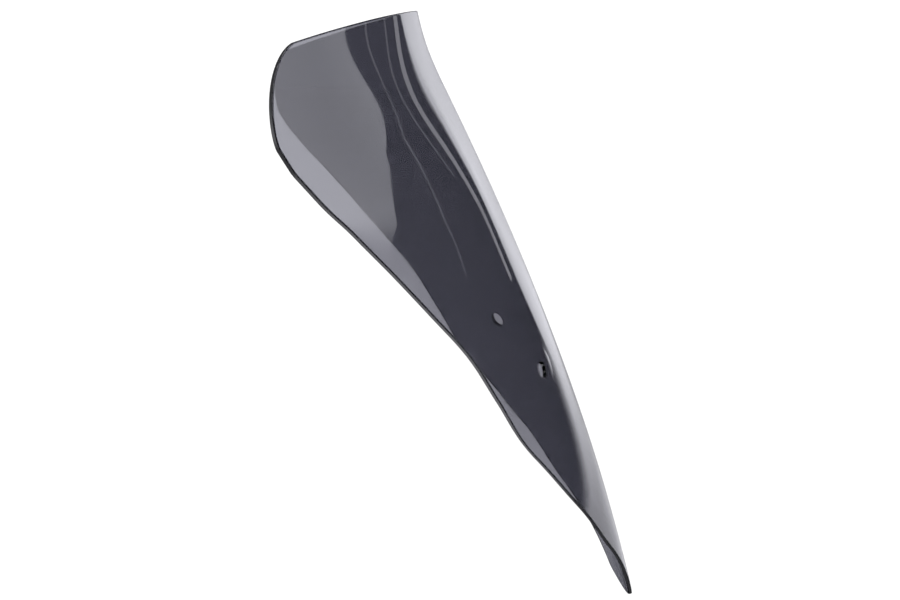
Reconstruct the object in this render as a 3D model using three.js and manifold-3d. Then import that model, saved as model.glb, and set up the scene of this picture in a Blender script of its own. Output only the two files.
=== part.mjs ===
// Motorcycle windshield screen: one thermoformed sheet of smoke-tinted acrylic, 3 mm thick.
// Millimetres, +Z up, the rider sits towards +Y, so the screen's outside faces -Y.
// X = 0 is the mirror plane. The origin is the point midway between the two screw holes.
import * as THREE from 'three';
import Module from 'manifold-3d';
import { mergeVertices } from 'three/addons/utils/BufferGeometryUtils.js';

const THICKNESS = 3.0;
const LENGTH = 498;            // along the centre line, from the top edge to the tip of the tongue
const HOLE_DIAMETER = 12;
const HOLE_SIDES = 36;
const HOLE_X = 68.5;            // half the distance between the two holes
const HOLE_S = 254;            // how far down the centre line the holes lie
const LAND_RADIUS = 9.5;       // flat ring for the washer
const LAND_BLEND = 20;         // where the flat ring has faded back into the curved sheet

// The centre line's backward lean, in degrees, and how it changes.
const LEAN = 28.3;             // at the top, were there no lip
const LEAN_LOSS = 0.0233;      // degrees of lean lost per millimetre down
const LEAN_BEND = 287.5;       // further lean is lost with the square of the distance over this
const LIP_TURN = 15;           // the lip is turned up by this at the very top
const LIP_LENGTH = 30.6;
const FOOT_TURN = 3;           // the tongue's end is turned down by this
const FOOT_S = 495;
const FOOT_LENGTH = 12;

const TOP_SAG = 12.2;          // the top edge is cut lower by this much
const SAG_WIDTH = 180;         // at this distance from the centre line
const SAG_LENGTH = 80;         // and the shift has faded out this far down
const TOP_CUT = 0.053;         // but less where the sheet lies further back, by this fraction of it
const CORNER_DROP = 29.4;      // the upper corners: how far they reach down the side
const CORNER_RUN = 39;         // and how far they reach in along the top edge
const CORNER_SHAPE = 1.4;      // 2 is an ellipse, lower is a softer corner
const TIP_LENGTH = 12;         // length over which the tongue closes into its round end

const MERGE_GAP = 1e-4;        // mesh points closer than this are one point

// Each row is [distance down the centre line, value at that distance].
const HALF_WIDTH = [[40, 184.7], [60, 179.8], [90, 168], [125, 154.8], [165, 143.3], [205, 130.2],
  [250, 119.4], [300, 102.6], [350, 87.5], [400, 65.5], [450, 40], [480, 27]];
const CREASE_X = [[0, 39], [60, 42.6], [240, 42.7], [300, 37.6], [360, 27.3], [420, 16], [498, 10]];
const CREASE_SOFTNESS = [[0, 4], [60, 4], [120, 5], [180, 6], [240, 9], [300, 14], [360, 22],
  [420, 26], [498, 26]];
const KEEL_RADIUS = [[0, 5], [60, 6], [120, 8], [180, 12], [240, 18], [300, 25], [360, 30],
  [498, 32]];
const PANEL_SLOPE = [[0, 0.48], [60, 0.428], [120, 0.381], [240, 0.443], [360, 0.351],
  [498, 0.158]];
const WING_SLOPE = [[0, 0.6], [60, 0.542], [120, 0.541], [180, 0.516], [240, 0.503],
  [300, 0.466], [360, 0.346], [420, 0.227], [498, 0.088]];
const WING_CURL = [[0, 0.00085], [60, 0.001], [120, 0.00142], [180, 0.00164], [240, 0.00243],
  [300, 0.00424], [360, 0.00425], [420, 0.0051], [498, 0.0051]];

// A smooth curve through the rows that never overshoots between them.
function smooth(rows) {
  const n = rows.length;
  const step = [];
  for (let i = 0; i < n - 1; i += 1) {
    step.push((rows[i + 1][1] - rows[i][1]) / (rows[i + 1][0] - rows[i][0]));
  }
  const slope = [step[0]];
  for (let i = 1; i < n - 1; i += 1) {
    const same = step[i - 1] * step[i] > 0;
    slope.push(same ? (2 * step[i - 1] * step[i]) / (step[i - 1] + step[i]) : 0);
  }
  slope.push(step[n - 2]);
  return (s) => {
    if (s <= rows[0][0]) return rows[0][1];
    if (s >= rows[n - 1][0]) return rows[n - 1][1] + slope[n - 1] * (s - rows[n - 1][0]);
    let i = 0;
    while (s > rows[i + 1][0]) i += 1;
    const run = rows[i + 1][0] - rows[i][0];
    const t = (s - rows[i][0]) / run;
    const a = rows[i][1];
    const b = rows[i + 1][1];
    const u = 1 - t;
    return a * u * u * (1 + 2 * t) + b * t * t * (3 - 2 * t)
      + run * (slope[i] * t * u * u - slope[i + 1] * t * t * u);
  };
}
const halfWidth = smooth(HALF_WIDTH);
const creaseX = smooth(CREASE_X);
const creaseSoftness = smooth(CREASE_SOFTNESS);
const keelRadius = smooth(KEEL_RADIUS);
const panelSlope = smooth(PANEL_SLOPE);
const wingSlope = smooth(WING_SLOPE);
const wingCurl = smooth(WING_CURL);

// Backward lean of the centre line from the vertical, in radians: almost upright at the lip,
// then laid back, and slowly upright again towards the tongue, whose end turns straight down.
function lean(s) {
  const lip = LIP_TURN * Math.exp(-((s / LIP_LENGTH) ** 2));
  const foot = FOOT_TURN * Math.exp(-(((s - FOOT_S) / FOOT_LENGTH) ** 2));
  const plain = LEAN - LEAN_LOSS * s - (s / LEAN_BEND) ** 2;
  return THREE.MathUtils.degToRad(plain - lip - foot);
}
const STEP = 0.5;
const centreLine = [[0, 0]];   // [Y, Z] every half millimetre, from the top edge down
for (let i = 0; i <= LENGTH / STEP + 4; i += 1) {
  const angle = lean((i + 0.5) * STEP);
  const last = centreLine[i];
  centreLine.push([last[0] - STEP * Math.sin(angle), last[1] - STEP * Math.cos(angle)]);
}
function onCentreLine(s) {
  const i = Math.max(0, Math.floor(s / STEP));
  const t = s / STEP - i;
  const a = centreLine[i];
  const b = centreLine[i + 1];
  return [a[0] + (b[0] - a[0]) * t, a[1] + (b[1] - a[1]) * t];
}

// How far back the outside face lies behind the centre line, square to it: a flat-sided keel,
// a crease, then a wing that curls back.
function depth(s, x) {
  const keel = keelRadius(s);
  const soft = creaseSoftness(s);
  const past = (v) => (v - creaseX(s) + Math.hypot(v - creaseX(s), soft)) / 2;
  const wing = past(Math.abs(x));
  const start = past(0);
  return panelSlope(s) * (Math.hypot(x, keel) - keel)
    + (wingSlope(s) - panelSlope(s)) * (wing - start)
    + wingCurl(s) * (wing * wing - start * start);
}
function plainOutside(s, x) {
  const [y, z] = onCentreLine(s);
  const d = depth(s, x);
  return new THREE.Vector3(x, y + d * Math.cos(lean(s)), z - d * Math.sin(lean(s)));
}
function inward(s, x) {
  const e = 0.4;
  const down = plainOutside(s + e, x).sub(plainOutside(s - e, x));
  const across = plainOutside(s, x + e).sub(plainOutside(s, x - e));
  const normal = down.cross(across).normalize();
  return normal.y < 0 ? normal.negate() : normal;
}

// The outline, from the inner end of the upper corner down the side to the tip.
function side(angle) {
  const full = halfWidth(CORNER_DROP);
  const run = CORNER_RUN * Math.sin(angle) ** (2 / CORNER_SHAPE);
  const drop = CORNER_DROP * (1 - Math.cos(angle) ** (2 / CORNER_SHAPE));
  return [drop, full - CORNER_RUN + run];
}
function tip(angle) {
  const from = LENGTH - TIP_LENGTH;
  const width = halfWidth(from);
  const taper = (halfWidth(from) - halfWidth(from - 5)) / 5;
  const x = Math.cos(angle) * (width + taper * TIP_LENGTH * Math.sin(angle));
  return [from + TIP_LENGTH * Math.sin(angle), x];
}
function outline() {
  const rows = [];
  const quarter = Math.PI / 2;
  for (let i = 0; i < 8; i += 1) rows.push(side((quarter * i) / 8));
  for (let s = CORNER_DROP; s < 80; s += 9) rows.push([s, halfWidth(s)]);
  for (let s = 80; s < 230; s += 14) rows.push([s, halfWidth(s)]);
  for (let s = HOLE_S - 22.5; s < HOLE_S + 25; s += 5) rows.push([s, halfWidth(s)]);
  for (let s = HOLE_S + 34; s < LENGTH - TIP_LENGTH - 8; s += 14) rows.push([s, halfWidth(s)]);
  for (let i = 0; i < 8; i += 1) rows.push(tip((quarter * i) / 8));
  return rows;
}

// The flat ring round each screw hole: its middle on the outside face, and its inward normal.
function makeLand(sign) {
  const middle = plainOutside(HOLE_S, sign * HOLE_X);
  return { middle, normal: inward(HOLE_S, sign * HOLE_X) };
}
const lands = [makeLand(-1), makeLand(1)];
const origin = new THREE.Vector3(0, lands[1].middle.y, lands[1].middle.z);

// A point of the sheet: inset 0 is the outside face, inset THICKNESS the rider's side.
function onSheet(s, x, inset) {
  const point = plainOutside(s, x).addScaledVector(inward(s, x), inset);
  for (const land of lands) {
    const from = point.clone().sub(land.middle);
    const height = from.dot(land.normal);
    const radius = from.addScaledVector(land.normal, -height).length();
    const fade = THREE.MathUtils.smoothstep(radius, LAND_RADIUS, LAND_BLEND);
    point.addScaledVector(land.normal, (inset - height) * (1 - fade));
  }
  return point.sub(origin);
}

// Columns as fractions: from the centre line to the crease, then from the crease to the edge.
const KEEL_COLUMNS = [0, 0.1, 0.25, 0.5, 0.75, 1];
const WING_COLUMNS = [0.06, 0.13, 0.19, 0.25, 0.3, 0.35, 0.41, 0.48, 0.56, 0.66, 0.77, 0.89, 1];
function columns(s, edge) {
  const crease = Math.min(creaseX(s), 0.42 * edge);
  const half = KEEL_COLUMNS.map((t) => crease * t);
  for (const t of WING_COLUMNS) half.push(crease + (edge - crease) * t);
  const left = half.slice(1).reverse().map((x) => -x);
  return left.concat(half);
}

// One closed body: the two faces as grids, joined round the edge, closing in a point row at
// the tip.
function sheetMesh(wasm) {
  const points = [];
  const triangles = [];
  const add = (point) => points.push(point.x, point.y, point.z) / 3 - 1;
  const quad = (a, b, c, d) => triangles.push(a, b, c, a, c, d);
  const grids = [0, THICKNESS].map((inset) => outline().map(([s, edge]) => columns(s, edge)
    .map((x) => {
      const cut = TOP_SAG * (x / SAG_WIDTH) ** 2 - TOP_CUT * depth(0, x);
      return add(onSheet(s + cut * Math.max(0, 1 - s / SAG_LENGTH), x, inset));
    })));
  const [outer, inner] = grids;
  const ends = [0, THICKNESS].map((inset) => add(onSheet(LENGTH, 0, inset)));
  const rows = outer.length;
  const last = outer[0].length - 1;
  for (let i = 0; i < rows - 1; i += 1) {
    for (let j = 0; j < last; j += 1) {
      quad(outer[i][j], outer[i + 1][j], outer[i + 1][j + 1], outer[i][j + 1]);
      quad(inner[i][j], inner[i][j + 1], inner[i + 1][j + 1], inner[i + 1][j]);
    }
    quad(outer[i][last], outer[i + 1][last], inner[i + 1][last], inner[i][last]);
    quad(outer[i + 1][0], outer[i][0], inner[i][0], inner[i + 1][0]);
  }
  for (let j = 0; j < last; j += 1) {
    quad(outer[0][j], outer[0][j + 1], inner[0][j + 1], inner[0][j]);
    triangles.push(outer[rows - 1][j], ends[0], outer[rows - 1][j + 1]);
    triangles.push(inner[rows - 1][j], inner[rows - 1][j + 1], ends[1]);
  }
  quad(outer[rows - 1][last], ends[0], ends[1], inner[rows - 1][last]);
  quad(ends[0], outer[rows - 1][0], inner[rows - 1][0], ends[1]);
  return new wasm.Manifold(new wasm.Mesh({
    numProp: 3,
    vertProperties: new Float32Array(points),
    triVerts: new Uint32Array(triangles),
  }));
}

// The plug that cuts one screw hole, square to the flat ring.
function screwHole(wasm, land) {
  const radius = HOLE_DIAMETER / 2;
  const cylinder = new THREE.CylinderGeometry(radius, radius, 4 * THICKNESS, HOLE_SIDES);
  cylinder.deleteAttribute('normal');
  cylinder.deleteAttribute('uv');
  const plug = mergeVertices(cylinder, MERGE_GAP);
  const turn = new THREE.Quaternion().setFromUnitVectors(new THREE.Vector3(0, 1, 0), land.normal);
  const middle = land.middle.clone().sub(origin).addScaledVector(land.normal, THICKNESS / 2);
  plug.applyMatrix4(new THREE.Matrix4().compose(middle, turn, new THREE.Vector3(1, 1, 1)));
  return new wasm.Manifold(new wasm.Mesh({
    numProp: 3,
    vertProperties: new Float32Array(plug.getAttribute('position').array),
    triVerts: new Uint32Array(plug.getIndex().array),
  }));
}

function toGeometry(solid) {
  const mesh = solid.getMesh();
  const geometry = new THREE.BufferGeometry();
  geometry.setAttribute('position', new THREE.BufferAttribute(mesh.vertProperties, 3));
  geometry.setIndex(new THREE.BufferAttribute(mesh.triVerts, 1));
  const joined = mergeVertices(geometry, MERGE_GAP);
  joined.computeVertexNormals();
  return joined;
}

const wasm = await Module();
wasm.setup();
let panel = sheetMesh(wasm);
for (const land of lands) panel = panel.subtract(screwHole(wasm, land));

const smokeAcrylic = new THREE.MeshStandardMaterial({
  color: 0x3c3c46,
  roughness: 0.08,
  metalness: 0,
  transparent: true,
  opacity: 0.8,
});
const mesh = new THREE.Mesh(toGeometry(panel), smokeAcrylic);
mesh.name = 'screen_panel';

const screen = new THREE.Group();
screen.name = 'windshield_screen';
screen.add(mesh);
export default screen;
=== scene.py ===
"""Looks for the windshield screen: one thermoformed sheet of smoke-tinted acrylic, in a white studio.

The sheet follows the same curves as the CAD part, on a finer grid and with polished, rounded edges.
Sheet sizes are in millimetres and scaled to metres when the mesh is made; the stage is in metres.
"""

import math

import bpy
import numpy as np
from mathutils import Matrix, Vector
from mathutils.geometry import delaunay_2d_cdt


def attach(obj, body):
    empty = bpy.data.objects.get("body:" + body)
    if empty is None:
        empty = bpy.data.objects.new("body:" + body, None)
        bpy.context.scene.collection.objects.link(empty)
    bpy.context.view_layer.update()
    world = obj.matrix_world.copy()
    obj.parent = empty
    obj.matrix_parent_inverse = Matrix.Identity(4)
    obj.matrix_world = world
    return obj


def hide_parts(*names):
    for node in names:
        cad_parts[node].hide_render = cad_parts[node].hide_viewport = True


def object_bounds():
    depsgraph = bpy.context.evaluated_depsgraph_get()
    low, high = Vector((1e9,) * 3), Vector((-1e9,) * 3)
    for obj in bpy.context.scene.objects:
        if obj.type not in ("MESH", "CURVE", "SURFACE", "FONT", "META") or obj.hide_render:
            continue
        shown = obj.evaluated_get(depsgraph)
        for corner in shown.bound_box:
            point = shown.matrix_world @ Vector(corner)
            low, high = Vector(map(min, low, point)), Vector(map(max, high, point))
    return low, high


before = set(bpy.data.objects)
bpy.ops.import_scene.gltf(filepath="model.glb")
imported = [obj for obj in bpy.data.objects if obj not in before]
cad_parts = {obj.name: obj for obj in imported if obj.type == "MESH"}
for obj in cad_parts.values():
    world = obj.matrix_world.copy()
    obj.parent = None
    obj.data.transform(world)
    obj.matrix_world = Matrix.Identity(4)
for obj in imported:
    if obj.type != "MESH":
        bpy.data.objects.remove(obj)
cad_low, cad_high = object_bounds()
MM = 0.001                # metres in a millimetre

# The sheet's driving dimensions, the same as in the CAD part.
THICKNESS = 3.0
LENGTH = 498.0
HOLE_RADIUS = 6.0
HOLE_X = 68.5
HOLE_S = 254.0
LAND_RADIUS = 9.5
LAND_BLEND = 20.0
LEAN = 28.3               # the centre line's backward lean at the top, in degrees
LEAN_LOSS = 0.0233
LEAN_BEND = 287.5
LIP_TURN = 15
LIP_LENGTH = 30.6
FOOT_TURN = 3
FOOT_S = 495
FOOT_LENGTH = 12
TOP_SAG = 12.2
TOP_CUT = 0.053
SAG_WIDTH = 180
SAG_LENGTH = 80.0
CORNER_DROP = 29.4
CORNER_RUN = 39.0
CORNER_SHAPE = 1.4
TIP_LENGTH = 12.0

# Each row is [distance down the centre line, value at that distance].
HALF_WIDTH = [[40, 184.7], [60, 179.8], [90, 168], [125, 154.8], [165, 143.3], [205, 130.2],
              [250, 119.4], [300, 102.6], [350, 87.5], [400, 65.5], [450, 40], [480, 27]]
CREASE_X = [[0, 39], [60, 42.6], [240, 42.7], [300, 37.6], [360, 27.3], [420, 16], [498, 10]]
CREASE_SOFTNESS = [[0, 4], [60, 4], [120, 5], [180, 6], [240, 9], [300, 14], [360, 22],
                   [420, 26], [498, 26]]
KEEL_RADIUS = [[0, 5], [60, 6], [120, 8], [180, 12], [240, 18], [300, 25], [360, 30], [498, 32]]
PANEL_SLOPE = [[0, 0.48], [60, 0.428], [120, 0.381], [240, 0.443], [360, 0.351], [498, 0.158]]
WING_SLOPE = [[0, 0.6], [60, 0.542], [120, 0.541], [180, 0.516], [240, 0.503], [300, 0.466],
              [360, 0.346], [420, 0.227], [498, 0.088]]
WING_CURL = [[0, 0.00085], [60, 0.001], [120, 0.00142], [180, 0.00164], [240, 0.00243],
             [300, 0.00424], [360, 0.00425], [420, 0.0051], [498, 0.0051]]

# The mesh.
EDGE_ROUNDING = 1.0       # how far the polished edge's rounding reaches in from the rim
BORE_ROUNDING = 0.5       # the same at the screw holes
EDGE_FULLNESS = 3.0       # 2 is a half-round edge, higher is squarer
EDGE_STEPS = 10
CUT_STEPS = (3, 4, 5, 6)  # the steps in the middle of the rim, which have the satin material
GRID_GAP = 0.9            # no grid point lies closer to the rim than this
RING_GAP = 1.6            # nor closer than this to the outer edge of a hole's blend
HOLE_STEPS = 64
RING_RADII = (7.5, 8.6, 9.8, 11.2, 12.7, 14.3, 16.2, 18.2, 20.4)   # mesh rings round each hole
CORNER_STEPS = 25
SIDE_STEPS = 190
TOP_STEPS = 90
LIP_ROW_GAP = 1.6         # between the mesh's rows in the first LIP_ROWS millimetres
ROW_GAP = 2.6             # and below them
LIP_ROWS = 60
KEEL_COLUMNS = 25
WING_COLUMNS = 48
WING_CROWDING = 1.5       # above 1, columns crowd together next to the crease
KEEL_CROWDING = 0.7       # the same for the keel's columns, at the middle and at the crease
CREASE_LIMIT = 0.42       # where the sheet is narrow, the crease columns keep inside this part of it


def smooth(rows):
    """A smooth curve through the rows that never overshoots between them."""
    at, value = np.array(rows, float).T
    step = np.diff(value) / np.diff(at)
    slope = np.concatenate([step[:1], np.zeros(len(at) - 2), step[-1:]])
    for i in range(1, len(at) - 1):
        if step[i - 1] * step[i] > 0:
            slope[i] = 2 * step[i - 1] * step[i] / (step[i - 1] + step[i])

    def curve(s):
        s = np.asarray(s, float)
        i = np.clip(np.searchsorted(at, s, side="right") - 1, 0, len(at) - 2)
        run = at[i + 1] - at[i]
        t = np.clip((s - at[i]) / run, 0, 1)
        u = 1 - t
        inside = value[i] * u * u * (1 + 2 * t) + value[i + 1] * t * t * (3 - 2 * t)
        inside = inside + run * (slope[i] * t * u * u - slope[i + 1] * t * t * u)
        return inside + slope[-1] * np.maximum(s - at[-1], 0)

    return curve


half_width = smooth(HALF_WIDTH)
crease_x = smooth(CREASE_X)
crease_softness = smooth(CREASE_SOFTNESS)
keel_radius = smooth(KEEL_RADIUS)
panel_slope = smooth(PANEL_SLOPE)
wing_slope = smooth(WING_SLOPE)
wing_curl = smooth(WING_CURL)


def lean(s):
    """Backward lean of the centre line from the vertical, in radians."""
    lip = LIP_TURN * np.exp(-((s / LIP_LENGTH) ** 2))
    foot = FOOT_TURN * np.exp(-(((s - FOOT_S) / FOOT_LENGTH) ** 2))
    return np.radians(LEAN - LEAN_LOSS * s - (s / LEAN_BEND) ** 2 - lip - foot)


LINE_STEP = 0.5
line_s = np.arange(0, LENGTH + 4, LINE_STEP)
line_lean = lean(line_s + LINE_STEP / 2)
line_y = np.concatenate([[0], -np.cumsum(LINE_STEP * np.sin(line_lean))])[:len(line_s)]
line_z = np.concatenate([[0], -np.cumsum(LINE_STEP * np.cos(line_lean))])[:len(line_s)]


def on_centre_line(s):
    """Y and Z of the centre line, carried on straight above the top edge."""
    above = np.minimum(s, 0)
    y = np.interp(s, line_s, line_y) - above * np.sin(lean(0))
    z = np.interp(s, line_s, line_z) - above * np.cos(lean(0))
    return y, z


def depth(s, x):
    """How far back the outside face lies behind the centre line: keel, crease, then wing."""
    keel = keel_radius(s)
    soft = crease_softness(s)
    crease = crease_x(s)
    wing = (np.abs(x) - crease + np.hypot(np.abs(x) - crease, soft)) / 2
    start = (np.hypot(crease, soft) - crease) / 2
    return (panel_slope(s) * (np.hypot(x, keel) - keel)
            + (wing_slope(s) - panel_slope(s)) * (wing - start)
            + wing_curl(s) * (wing * wing - start * start))


def plain_outside(s, x):
    """Points of the outside face before the flat rings are pressed in."""
    y, z = on_centre_line(s)
    d = depth(s, x)
    return np.stack([x + 0 * s, y + d * np.cos(lean(s)), z - d * np.sin(lean(s))], -1)


def unit(v):
    """Vectors scaled to length 1."""
    return v / np.linalg.norm(v, axis=-1, keepdims=True)


def inward(s, x):
    """The outside face's normal, towards the rider."""
    e = 0.4
    down = plain_outside(s + e, x) - plain_outside(s - e, x)
    across = plain_outside(s, x + e) - plain_outside(s, x - e)
    normal = unit(np.cross(down, across))
    return normal * np.where(normal[..., 1:2] < 0, -1, 1)


class Land:
    """The flat ring round one screw hole."""

    def __init__(self, sign):
        self.middle = plain_outside(HOLE_S, sign * HOLE_X)
        self.normal = inward(HOLE_S, sign * HOLE_X)
        self.right = unit(np.cross(self.normal, [0, 0, 1]))
        self.up = np.cross(self.right, self.normal)
        self.start = np.array([HOLE_S, sign * HOLE_X])

    def ring(self, radius, turn):
        """Points round the hole, in the plane of the flat ring."""
        flat = np.cos(turn)[:, None] * self.right + np.sin(turn)[:, None] * self.up
        return self.middle + radius * flat

    def place_on_sheet(self, radius, turn):
        """The sheet's own coordinates of that ring, by Newton's method."""
        want = radius * np.stack([np.cos(turn), np.sin(turn)], -1)
        at = np.repeat(self.start[None], len(turn), 0)
        e = 0.05
        for _ in range(6):
            here = self.flat(at)
            ds = (self.flat(at + [e, 0]) - here) / e
            dx = (self.flat(at + [0, e]) - here) / e
            miss = want - here
            size = ds[:, 0] * dx[:, 1] - ds[:, 1] * dx[:, 0]
            at = at + np.stack([(miss[:, 0] * dx[:, 1] - miss[:, 1] * dx[:, 0]) / size,
                                (ds[:, 0] * miss[:, 1] - ds[:, 1] * miss[:, 0]) / size], -1)
        return at

    def flat(self, at):
        """Sheet coordinates as a place in the flat ring's plane."""
        off = plain_outside(at[:, 0], at[:, 1]) - self.middle
        return np.stack([off @ self.right, off @ self.up], -1)


lands = [Land(-1), Land(1)]
origin = np.array([0, lands[1].middle[1], lands[1].middle[2]])


def on_sheet(at, inset):
    """Points of the sheet: inset 0 is the outside face, THICKNESS the rider's side."""
    s, x = at[:, 0], at[:, 1]
    cut = TOP_SAG * (x / SAG_WIDTH) ** 2 - TOP_CUT * depth(0.0, x)
    s = s + cut * np.maximum(0, 1 - s / SAG_LENGTH)
    point = plain_outside(s, x) + inward(s, x) * inset
    for land in lands:
        off = point - land.middle
        height = off @ land.normal
        radius = np.linalg.norm(off - height[:, None] * land.normal, axis=-1)
        t = np.clip((radius - LAND_RADIUS) / (LAND_BLEND - LAND_RADIUS), 0, 1)
        fade = t * t * (3 - 2 * t)
        point = point + ((inset - height) * (1 - fade))[:, None] * land.normal
    return point - origin


def face_normal(at, inset):
    """The sheet's normal towards the rider, at one of its two faces."""
    e = 0.2
    down = on_sheet(at + [e, 0], inset) - on_sheet(at - [e, 0], inset)
    across = on_sheet(at + [0, e], inset) - on_sheet(at - [0, e], inset)
    normal = unit(np.cross(down, across))
    return normal * np.where(normal[:, 1:2] < 0, -1, 1)


def outline():
    """The rim as one loop of sheet coordinates, down the left side and up the right."""
    quarter = np.linspace(0, math.pi / 2, CORNER_STEPS)
    full = half_width(CORNER_DROP)
    run = CORNER_RUN * np.sin(quarter) ** (2 / CORNER_SHAPE)
    drop = CORNER_DROP * (1 - np.cos(quarter) ** (2 / CORNER_SHAPE))
    corner = np.stack([drop, full - CORNER_RUN + run], -1)
    tip_start = LENGTH - TIP_LENGTH
    s = np.linspace(CORNER_DROP, tip_start, SIDE_STEPS)[1:-1]
    side = np.stack([s, half_width(s)], -1)
    width = half_width(tip_start)
    taper = (half_width(tip_start) - half_width(tip_start - 5)) / 5
    x = np.cos(quarter) * (width + taper * TIP_LENGTH * np.sin(quarter))
    tip = np.stack([tip_start + TIP_LENGTH * np.sin(quarter), x], -1)
    top = np.linspace(0, full - CORNER_RUN, TOP_STEPS)[1:-1]
    half = np.concatenate([np.stack([0 * top, top], -1), corner, side, tip[:-1]])
    mirrored = half[::-1] * [1, -1]
    return np.concatenate([[[0, 0]], half, tip[-1:] * [1, 0], mirrored])


def set_in(loop, distance):
    """The loop moved in over the sheet by a real distance."""
    along = np.roll(loop, -1, 0) - np.roll(loop, 1, 0)
    across = unit(np.stack([-along[:, 1], along[:, 0]], -1))
    middle = np.array([LENGTH / 2, 0])
    if np.sum(across * (middle - loop)) < 0:
        across = -across
    stretch = np.linalg.norm(on_sheet(loop + across, 0) - on_sheet(loop, 0), axis=-1)
    return loop + across * (distance / stretch)[:, None]


def inside(points, loop):
    """Which of the points lie inside the loop."""
    start, end = loop[None], np.roll(loop, -1, 0)[None]
    p = points[:, None]
    crossed = (start[..., 0] > p[..., 0]) != (end[..., 0] > p[..., 0])
    rise = np.where(crossed, end[..., 0] - start[..., 0], 1)
    meets = start[..., 1] + (p[..., 0] - start[..., 0]) / rise * (end[..., 1] - start[..., 1])
    return np.sum(crossed & (p[..., 1] < meets), 1) % 2 == 1


def gap_to(points, loop):
    """How far each point is from the loop, in sheet coordinates."""
    gap = np.full(len(points), np.inf)
    for start, end in zip(loop, np.roll(loop, -1, 0)):
        span = end - start
        t = np.clip((points - start) @ span / max(span @ span, 1e-9), 0, 1)
        gap = np.minimum(gap, np.linalg.norm(start + t[:, None] * span - points, axis=1))
    return gap


def grid_points(rim):
    """Rows down the sheet, close together at the lip; columns close together at the crease."""
    rows = np.concatenate([np.arange(LIP_ROW_GAP, LIP_ROWS, LIP_ROW_GAP),
                           np.arange(LIP_ROWS, LENGTH - 1, ROW_GAP)])
    even = np.linspace(0, 1, KEEL_COLUMNS)
    keel = even - KEEL_CROWDING * np.sin(2 * math.pi * even) / (2 * math.pi)
    wing = np.linspace(0, 1, WING_COLUMNS)[1:] ** WING_CROWDING
    points = []
    for s in rows:
        edge = half_width(s)
        crease = min(crease_x(s), CREASE_LIMIT * edge)
        x = np.concatenate([keel * crease, crease + wing * (edge - crease)])
        x = np.concatenate([-x[:0:-1], x])
        points.append(np.stack([s + 0 * x, x], -1))
    points = np.concatenate(points)
    points = points[inside(points, rim) & (gap_to(points, rim) > GRID_GAP)]
    for land in lands:
        points = points[np.linalg.norm(land.flat(points), axis=1) > LAND_BLEND + RING_GAP]
    return points


def rim_profile(outer, inner, rim):
    """Rows of points and normals round a rim, from the outside face to the rider's."""
    middle = (outer + inner) / 2
    up = (outer - inner) / 2
    out = rim - middle
    rows = []
    for angle in np.linspace(0, math.pi, EDGE_STEPS + 1)[1:-1]:
        c, s = math.cos(angle), math.sin(angle)
        c_shape = math.copysign(abs(c) ** (2 / EDGE_FULLNESS), c)
        s_shape = s ** (2 / EDGE_FULLNESS)
        c_normal = math.copysign(abs(c) ** (2 - 2 / EDGE_FULLNESS), c)
        s_normal = s ** (2 - 2 / EDGE_FULLNESS)
        point = middle + up * c_shape + out * s_shape
        height = np.sum(up * up, 1, keepdims=True)
        reach = np.sum(out * out, 1, keepdims=True)
        rows.append((point, unit(up / height * c_normal + out / reach * s_normal)))
    return rows


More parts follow.
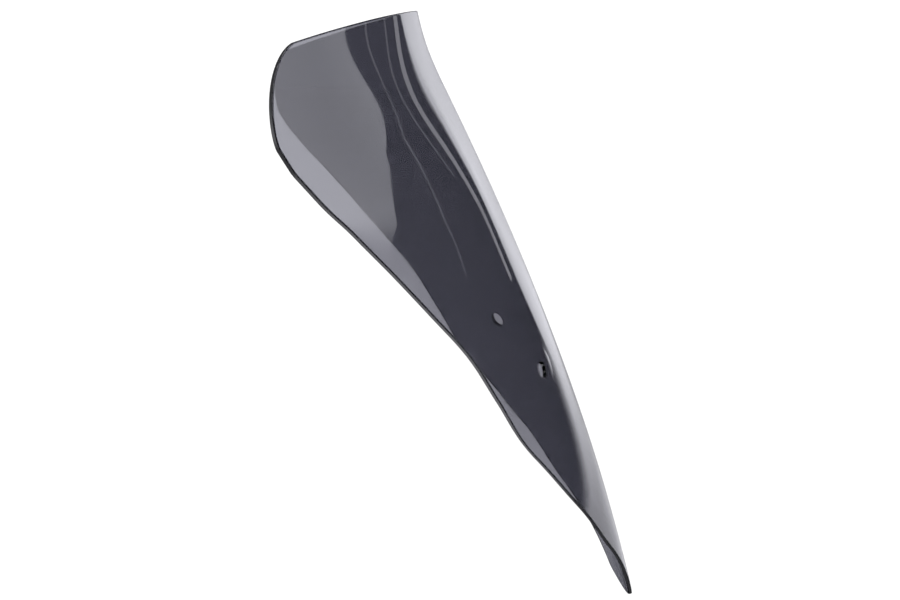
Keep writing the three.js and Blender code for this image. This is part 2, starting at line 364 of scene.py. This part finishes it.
def make_sheet():
    """The sheet as one closed mesh."""
    rim = outline()
    rim_in = set_in(rim, EDGE_ROUNDING)
    turn = np.linspace(0, 2 * math.pi, HOLE_STEPS, endpoint=False)
    loops = [rim_in] + [land.place_on_sheet(HOLE_RADIUS + BORE_ROUNDING, turn) for land in lands]
    ring_points = [land.place_on_sheet(radius, turn) for land in lands for radius in RING_RADII]
    flat = np.concatenate(loops + ring_points + [grid_points(rim_in)])
    edges = []
    starts = []
    count = 0
    for loop in loops:
        n = len(loop)
        starts.append(count)
        edges += [(count + i, count + (i + 1) % n) for i in range(n)]
        count += n
    made = delaunay_2d_cdt([Vector(p) for p in flat], edges, [], 1, 1e-5, True)
    flat_points, faces, origins = made[0], made[2], made[3]
    at = np.array([tuple(p) for p in flat_points])
    where = {}
    for new, olds in enumerate(origins):
        for old in olds:
            where[old] = new
    holes = [set(where[starts[k] + i] for i in range(len(turn))) for k in (1, 2)]
    centres = np.array([at[list(f)].mean(0) for f in faces])
    kept = inside(centres, rim_in)
    faces = [f for f, keep in zip(faces, kept) if keep and not any(set(f) <= hole for hole in holes)]

    outer = on_sheet(at, 0)
    inner = on_sheet(at, THICKNESS)
    for k, land in enumerate(lands):
        ids = [where[starts[k + 1] + i] for i in range(len(turn))]
        ring = land.ring(HOLE_RADIUS + BORE_ROUNDING, turn) - origin
        outer[ids] = ring
        inner[ids] = ring + THICKNESS * land.normal
    points = [outer, inner]
    normals = [-face_normal(at, 0), face_normal(at, THICKNESS)]
    n = len(at)

    def faces_outwards(f):
        a, b, c = outer[f[0]], outer[f[1]], outer[f[2]]
        return np.dot(np.cross(b - a, c - a), normals[0][f[0]]) > 0

    triangles = []
    for f in faces:
        f = f if faces_outwards(f) else f[::-1]
        triangles.append(tuple(f))
        triangles.append(tuple(n + i for i in f[::-1]))
    total = 2 * n
    quads = []
    cut = []
    rims = [(on_sheet(rim, 0) + on_sheet(rim, THICKNESS)) / 2]
    rims += [land.ring(HOLE_RADIUS, turn) + land.normal * THICKNESS / 2 - origin for land in lands]
    for k, edge in enumerate(rims):
        ids = [where[starts[k] + i] for i in range(len(edge))]
        rows = rim_profile(outer[ids], inner[ids], edge)
        chain = [ids]
        for point, normal in rows:
            points.append(point)
            normals.append(normal)
            chain.append(list(range(total, total + len(point))))
            total += len(point)
        chain.append([n + i for i in ids])
        for step, (one, two) in enumerate(zip(chain, chain[1:])):
            for i in range(len(one)):
                j = (i + 1) % len(one)
                quads.append((one[i], one[j], two[j], two[i]))
                cut.append(k == 0 and step in CUT_STEPS)
    points = np.concatenate(points)
    normals = np.concatenate(normals)

    def right_way(q):
        a, b, c = points[q[0]], points[q[1]], points[q[2]]
        return np.dot(np.cross(b - a, c - a), normals[list(q)].sum(0)) > 0

    quads = [q if right_way(q) else q[::-1] for q in quads]
    mesh = bpy.data.meshes.new("screen_sheet")
    mesh.from_pydata((points * MM).tolist(), [], triangles + quads)
    for polygon, is_cut in zip(mesh.polygons[len(triangles):], cut):
        polygon.material_index = int(is_cut)
    mesh.shade_smooth()
    mesh.normals_split_custom_set_from_vertices(normals.tolist())
    sheet = bpy.data.objects.new("screen_sheet", mesh)
    bpy.context.scene.collection.objects.link(sheet)
    return sheet


# --- materials -------------------------------------------------------------------------------
ACRYLIC_IOR = 1.49
TINT_DENSITY = 333        # per metre
RIPPLE_HEIGHT = 0.0004    # metres: the faint waves that heat forming leaves in the sheet
RIPPLE_STRETCH = (16, 16, 5)        # about this many waves per metre along X, Y and Z
HANDLING_STRETCH = (45, 45, 30)     # the same for patches where the polish is less fresh
GLOSS_ROUGHNESS = 0.012
WORN_ROUGHNESS = 0.045


def math_node(nodes, links, operation, *values):
    """A Math node fed by sockets or plain numbers."""
    node = nodes.new("ShaderNodeMath")
    node.operation = operation
    for socket, value in zip(node.inputs, values):
        if isinstance(value, (int, float)):
            socket.default_value = value
        else:
            links.new(value, socket)
    return node.outputs["Value"]


def ramp(nodes, links, value, start, end, low, high):
    """A soft step from low to high as value goes from start to end."""
    node = nodes.new("ShaderNodeMapRange")
    node.interpolation_type = "SMOOTHSTEP"
    links.new(value, node.inputs["Value"])
    node.inputs["From Min"].default_value = start
    node.inputs["From Max"].default_value = end
    node.inputs["To Min"].default_value = low
    node.inputs["To Max"].default_value = high
    return node.outputs["Result"]


def noise(nodes, links, place, stretch, detail):
    """Noise stretched over the sheet: higher numbers make it finer along that axis."""
    mapping = nodes.new("ShaderNodeMapping")
    mapping.inputs["Scale"].default_value = stretch
    links.new(place, mapping.inputs["Vector"])
    texture = nodes.new("ShaderNodeTexNoise")
    texture.inputs["Scale"].default_value = 1.0
    texture.inputs["Detail"].default_value = detail
    links.new(mapping.outputs["Vector"], texture.inputs["Vector"])
    return texture.outputs["Fac"]


def cut_edge():
    """The middle of the rim: an opaque dark satin stand-in for tinted acrylic seen edge-on."""
    material = bpy.data.materials.new("cut_edge")
    material.use_nodes = True
    surface = material.node_tree.nodes["Principled BSDF"]
    surface.inputs["Base Color"].default_value = (0.03, 0.03, 0.034, 1)
    surface.inputs["Roughness"].default_value = 0.35
    surface.inputs["IOR"].default_value = ACRYLIC_IOR
    return material


def smoke_acrylic():
    """Clear gloss acrylic, tinted in its depth, with faint waves and slight wear of its polish."""
    material = bpy.data.materials.new("smoke_acrylic")
    material.use_nodes = True
    nodes, links = material.node_tree.nodes, material.node_tree.links
    surface = nodes["Principled BSDF"]
    surface.inputs["Base Color"].default_value = (0.60, 0.60, 0.64, 1)
    surface.inputs["IOR"].default_value = ACRYLIC_IOR
    surface.inputs["Transmission Weight"].default_value = 1.0
    tint = nodes.new("ShaderNodeVolumeAbsorption")
    tint.inputs["Color"].default_value = (0.14, 0.14, 0.213, 1)
    tint.inputs["Density"].default_value = TINT_DENSITY
    links.new(tint.outputs["Volume"], nodes["Material Output"].inputs["Volume"])

    place = nodes.new("ShaderNodeTexCoord").outputs["Object"]
    ripple = noise(nodes, links, place, RIPPLE_STRETCH, 1.0)
    bump = nodes.new("ShaderNodeBump")
    bump.inputs["Distance"].default_value = RIPPLE_HEIGHT
    links.new(ripple, bump.inputs["Height"])
    links.new(bump.outputs["Normal"], surface.inputs["Normal"])
    handling = noise(nodes, links, place, HANDLING_STRETCH, 5.0)
    wear = ramp(nodes, links, handling, 0.35, 0.7, GLOSS_ROUGHNESS, WORN_ROUGHNESS)
    links.new(wear, surface.inputs["Roughness"])
    return material


# --- stage -----------------------------------------------------------------------------------
CAMERA_AZIMUTH = -100.07  # degrees
CAMERA_HEIGHT = 14.49     # degrees above level
CAMERA_DISTANCE = 0.6903
CAMERA_LENS = 36.84
AIM_Y = 0.5499            # the camera aims at this part of the CAD box's depth
AIM_Z = 0.5553            # and at this part of its height
FRONT = 1.5               # how far in front of the screen the lights stand
PANEL_BEHIND = 0.03       # the tall panels stand this much behind the other lights
ROOM_LIGHT = 1.15
FLOOR_DROP = 0.35         # the floor lies this far below the screen, which hangs free


def add_camera():
    """At the screen's right-hand side, a little behind and above it."""
    azimuth = math.radians(CAMERA_AZIMUTH)
    height = math.radians(CAMERA_HEIGHT)
    back = Vector((math.sin(azimuth) * math.cos(height), -math.cos(azimuth) * math.cos(height),
                   math.sin(height)))
    size = cad_high - cad_low
    target = Vector((0, cad_low.y + AIM_Y * size.y, cad_low.z + AIM_Z * size.z))
    data = bpy.data.cameras.new("camera")
    data.lens = CAMERA_LENS
    data.sensor_width = 36
    data.clip_start = 0.01
    data.clip_end = 200
    camera = bpy.data.objects.new("camera", data)
    camera.location = target + back * CAMERA_DISTANCE
    camera.rotation_euler = back.to_track_quat("Z", "Y").to_euler()
    bpy.context.scene.collection.objects.link(camera)
    bpy.context.scene.camera = camera


def card(name, corners, strength):
    """A flat light that only shows as a reflection in the gloss; its material and its light."""
    mesh = bpy.data.meshes.new(name)
    mesh.from_pydata(corners, [], [tuple(range(len(corners)))])
    material = bpy.data.materials.new(name)
    material.use_nodes = True
    nodes, links = material.node_tree.nodes, material.node_tree.links
    nodes.remove(nodes["Principled BSDF"])
    light = nodes.new("ShaderNodeEmission")
    light.inputs["Color"].default_value = (0.94, 0.94, 1, 1)
    light.inputs["Strength"].default_value = strength
    links.new(light.outputs["Emission"], nodes["Material Output"].inputs["Surface"])
    mesh.materials.append(material)
    made = bpy.data.objects.new(name, mesh)
    bpy.context.scene.collection.objects.link(made)
    made.visible_camera = False
    made.visible_diffuse = False
    made.visible_transmission = False
    made.visible_volume_scatter = False
    made.visible_shadow = False
    return material, light


def front_card(name, outline_xz, strength, distance=FRONT):
    """A card in an upright plane in front of the screen."""
    return card(name, [(x, -distance, z) for x, z in outline_xz], strength)


def place_on_card(nodes, links):
    """Sockets with the place on a card: how far to the side, and how high."""
    place = nodes.new("ShaderNodeNewGeometry")
    split = nodes.new("ShaderNodeSeparateXYZ")
    links.new(place.outputs["Position"], split.inputs["Vector"])
    return math_node(nodes, links, "ABSOLUTE", split.outputs["X"]), split.outputs["Z"]


def upper_softbox():
    """The softbox high in front, brightest in the middle and fading at its lower edge."""
    corners = [(0.1, 0.33), (0.32, 0.45), (0.47, 0.6), (0.56, 0.68), (0.64, 0.77), (0.72, 0.85),
               (0.775, 0.905), (0.6, 1.5), (-0.9, 1.5), (-0.9, 0.33)]
    material, light = front_card("upper_softbox", corners, 1.0)
    nodes, links = material.node_tree.nodes, material.node_tree.links
    x, z = place_on_card(nodes, links)
    middle = ramp(nodes, links, x, 0.1, 0.5, 2.45, 1.75)
    glow = math_node(nodes, links, "MULTIPLY", middle, ramp(nodes, links, z, 0.33, 0.5, 0.0, 1.0))
    links.new(glow, light.inputs["Strength"])


def tall_panel(name, side):
    """A wide panel at one side, which fades out with distance and at its slanted lower edge."""
    corners = [(side * x, z) for x, z in ((0.2, 1.3), (0.2, -1.8), (7, -1.8), (7, 1.3))]
    material, light = front_card(name, corners, 1.0, FRONT + PANEL_BEHIND)
    nodes, links = material.node_tree.nodes, material.node_tree.links
    x, z = place_on_card(nodes, links)
    far = math_node(nodes, links, "DIVIDE", 6.3, math_node(nodes, links, "POWER", x, 1.6))
    glow = math_node(nodes, links, "MINIMUM", far, 2.05)
    for step in ((-0.8, -0.25, 0.5, 1.0), (0, 0.4, 1.0, 1.18)):
        glow = math_node(nodes, links, "MULTIPLY", glow, ramp(nodes, links, z, *step))
    slant = math_node(nodes, links, "MULTIPLY_ADD", z, -2.7, x)
    upper = ramp(nodes, links, x, 1.28, 1.4, 0.0, 1.0)
    lower = ramp(nodes, links, slant, 1.45, 2.3, 0.0, 1.0)
    shape = math_node(nodes, links, "MAXIMUM", upper, lower)
    glow = math_node(nodes, links, "MULTIPLY", glow, shape)
    links.new(glow, light.inputs["Strength"])


def add_studio():
    """A white room and floor, which the gloss doesn't reflect, and the lights that it does."""
    world = bpy.data.worlds.new("studio")
    world.use_nodes = True
    world.node_tree.nodes["Background"].inputs["Color"].default_value = (1, 1, 1, 1)
    world.node_tree.nodes["Background"].inputs["Strength"].default_value = ROOM_LIGHT
    world.cycles_visibility.glossy = False
    bpy.context.scene.world = world

    bpy.ops.mesh.primitive_plane_add(size=60, location=(0, 0, cad_low.z - FLOOR_DROP))
    floor = bpy.context.object
    floor.name = "floor"
    material = bpy.data.materials.new("floor_paint")
    material.use_nodes = True
    surface = material.node_tree.nodes["Principled BSDF"]
    surface.inputs["Base Color"].default_value = (0.95, 0.95, 0.95, 1)
    surface.inputs["Roughness"].default_value = 0.9
    surface.inputs["Specular IOR Level"].default_value = 0.0
    floor.data.materials.append(material)
    floor.visible_glossy = False

    # The cards' shapes and strengths were chosen for how they look from this camera.
    upper_softbox()
    front_card("streak_low", [(0.50, 0.30), (0.515, 0.30), (0.875, 0.88), (0.86, 0.88)], 0.6)
    front_card("streak_high", [(0.965, 0.55), (0.98, 0.55), (0.985, 0.95), (0.97, 0.95)], 0.5)
    front_card("strip_light", [(1.08, 0.1), (1.14, 0.1), (1.14, 1.2), (1.08, 1.2)], 1.2)
    tall_panel("tall_panel_left", 1)
    tall_panel("tall_panel_right", -1)
    card("top_softbox", [(-0.8, -0.4, 2), (0.8, -0.4, 2), (0.8, 0.9, 2), (-0.8, 0.9, 2)], 1.8)
    low = [(-0.5, 0.15, -0.5), (0.05, 0.15, -0.5), (0.05, 0.7, -0.5), (-0.5, 0.7, -0.5)]
    card("low_back_card", low, 2.5)
    card("back_softbox", [(-1, 2, 0.4), (1, 2, 0.4), (1, 2, 1.5), (-1, 2, 1.5)], 1.8)


sheet = make_sheet()
sheet.data.materials.append(smoke_acrylic())
sheet.data.materials.append(cut_edge())
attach(sheet, "root")
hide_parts("screen_panel")

add_studio()
add_camera()
bpy.context.scene.view_settings.view_transform = "Standard"
